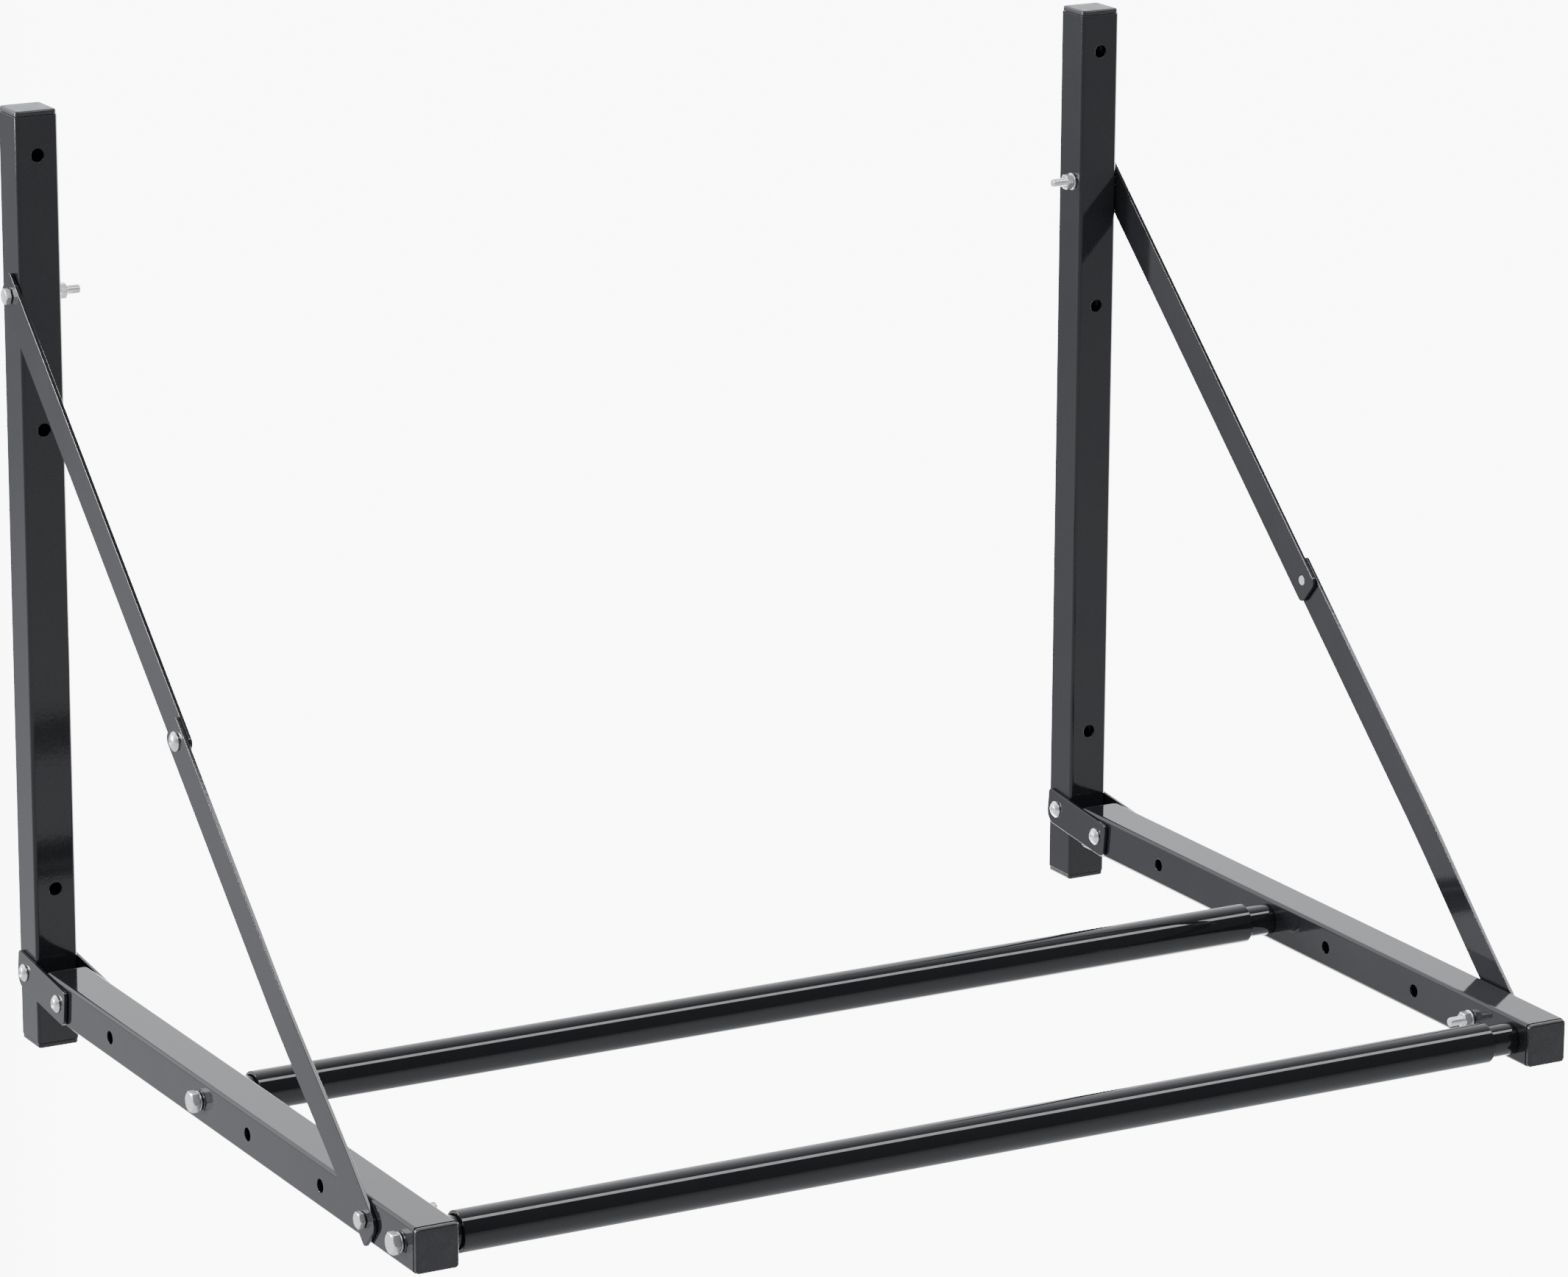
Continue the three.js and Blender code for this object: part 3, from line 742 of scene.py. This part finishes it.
def make_rail(rail, sides):
    for part, wall in (("sleeve", SLEEVE_WALL), ("sliding_tube", INNER_TUBE_WALL),
                       ("left_spigot", INNER_TUBE_WALL)):
        node = f"{rail}_{part}"
        diameter = size(node).z
        edge = min(RAIL_EDGE, wall / 3)
        mesh = ring_mesh(diameter, diameter - 2 * wall, size(node).x, edge, RAIL_SIDES)
        set_piece(node, mesh, seated(node, 1))
    for side, outward in sides:
        insert, washer, bolt = (f"{rail}_{side}_{part}" for part in ("insert", "washer", "bolt"))
        mesh = insert_mesh(size(insert).z, M8["shank"] + CLEARANCE, size(insert).x)
        set_piece(insert, mesh, seated(insert, -outward))
        mesh = ring_mesh(size(washer).z, M8["shank"] + CLEARANCE, size(washer).x, 0.4)
        set_piece(washer, mesh, seated(washer, outward))
        set_bolt(bolt, M8, outward)


# ---------------------------------------------------------------- the whole rack

SIDES = (("left", -1), ("right", 1))
for side, outward in SIDES:
    make_upright(side)
    make_arm(side)
    make_cap(f"{side}_upright_top_cap", UP_FRAME, Vector((0, 0, 1)))
    make_cap(f"{side}_upright_bottom_cap", DOWN_FRAME, Vector((0, 0, -1)))
    make_cap(f"{side}_arm_front_cap", FORWARD_FRAME, Vector((0, -1, 0)))
    make_cap(f"{side}_arm_rear_cap", BACKWARD_FRAME, Vector((0, 1, 0)))
    make_bars(side, outward)
    low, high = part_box(f"{side}_outer_hinge_plate")
    tube_middle = centre(f"{side}_upright").x
    plate_outside = max(abs(low.x - tube_middle), abs(high.x - tube_middle)) / MM
    for name in ("upright_rivet", "arm_pivot_rivet"):
        make_hinge_rivet(f"{side}_{name}", plate_outside + HEAD_GAP)
    make_link_rivet(side, outward)
    make_link_fixings(side, outward)
for rail in ("front_rail", "rear_rail"):
    make_rail(rail, SIDES)

# ---------------------------------------------------------------- studio

FLOOR_DEPTH = 0.6                  # the rack hangs this far above the floor, in metres
FLOOR_REACH = 60
STUDIO_TINT = (0.95, 0.97, 1)      # a slightly cool white


class Glow:
    """Short ways to build a brightness from a position or a direction in a node tree."""

    def __init__(self, tree, place):
        self.tree = tree
        self.place = place

    def link(self, socket, value):
        if isinstance(value, bpy.types.NodeSocket):
            self.tree.links.new(value, socket)
        else:
            socket.default_value = value

    def ramp(self, direction, start, end, low=0.0, high=1.0):
        """Rises smoothly from low to high as the distance along direction goes from start to end."""
        along = self.tree.nodes.new("ShaderNodeVectorMath")
        along.operation = "DOT_PRODUCT"
        self.link(along.inputs[0], self.place)
        along.inputs[1].default_value = direction
        node = self.tree.nodes.new("ShaderNodeMapRange")
        node.interpolation_type = "SMOOTHSTEP"
        self.link(node.inputs["Value"], along.outputs["Value"])
        for name, value in (("From Min", start), ("From Max", end), ("To Min", low), ("To Max", high)):
            node.inputs[name].default_value = value
        return node.outputs[0]

    def combine(self, operation, first, second):
        node = self.tree.nodes.new("ShaderNodeMath")
        node.operation = operation
        self.link(node.inputs[0], first)
        self.link(node.inputs[1], second)
        return node.outputs[0]


def add_floor():
    """A pale floor that glows where it lies behind the rack, and little elsewhere."""
    mesh = bpy.data.meshes.new("floor")
    reach, level = FLOOR_REACH, -FLOOR_DEPTH
    mesh.from_pydata([(-reach, -reach, level), (reach, -reach, level), (reach, reach, level),
                      (-reach, reach, level)], [], [(0, 1, 2, 3)])
    material = bpy.data.materials.new("floor")
    material.use_nodes = True
    tree = material.node_tree
    shader = tree.nodes["Principled BSDF"]
    shader.inputs["Base Color"].default_value = (0.62, 0.62, 0.63, 1)
    shader.inputs["Roughness"].default_value = 0.9
    shader.inputs["Specular IOR Level"].default_value = 0.1
    glow = Glow(tree, tree.nodes.new("ShaderNodeTexCoord").outputs["Object"])
    rear = glow.combine("MULTIPLY", glow.ramp((0, 1, 0), 0.3, 1.4, high=0.3),
                        glow.ramp((-0.874, -0.486, 0), -0.5, -0.15))
    lit = glow.combine("MULTIPLY", glow.ramp((0.485, 0.875, 0), 0.35, 0.95, high=9.5),
                       glow.ramp((0.925, -0.381, 0), -0.35, 0.05))
    shader.inputs["Emission Color"].default_value = (0.985, 0.99, 1, 1)
    tree.links.new(glow.combine("ADD", rear, lit), shader.inputs["Emission Strength"])
    mesh.materials.append(material)
    floor = bpy.data.objects.new("floor", mesh)
    bpy.context.scene.collection.objects.link(floor)


def add_world():
    """Soft surroundings, pale behind the rack and dim on the room side."""
    world = bpy.data.worlds.new("studio")
    world.use_nodes = True
    tree = world.node_tree
    backdrop = tree.nodes["Background"]
    glow = Glow(tree, tree.nodes.new("ShaderNodeTexCoord").outputs["Generated"])
    backdrop.inputs["Color"].default_value = (*STUDIO_TINT, 1)
    tree.links.new(glow.ramp((0, 1, 0), -0.35, 0.95, low=0.14, high=2.15), backdrop.inputs["Strength"])
    bpy.context.scene.world = world


def add_softbox(name, place, target, width, height, energy, spread=180):
    light = bpy.data.lights.new(name, "AREA")
    light.shape = "RECTANGLE"
    light.size = width
    light.size_y = height
    light.energy = energy
    light.color = STUDIO_TINT
    light.spread = math.radians(spread)
    box = bpy.data.objects.new(name, light)
    aim = Vector(target) - Vector(place)
    box.matrix_world = Matrix.Translation(place) @ aim.to_track_quat("-Z", "Y").to_matrix().to_4x4()
    bpy.context.scene.collection.objects.link(box)


add_floor()
add_world()
add_softbox("key", (-2.6, -2.4, 3.4), (0.4, -0.3, 0.2), 2.0, 2.0, 75)
add_softbox("side", (-2.4, 1.7, 0.6), (0.2, -0.3, 0.25), 0.8, 1.2, 18, spread=50)
add_softbox("strip", (1.3, -1.18, 2.5), (1.3, -1.0, 0.0), 3.6, 0.7, 62)
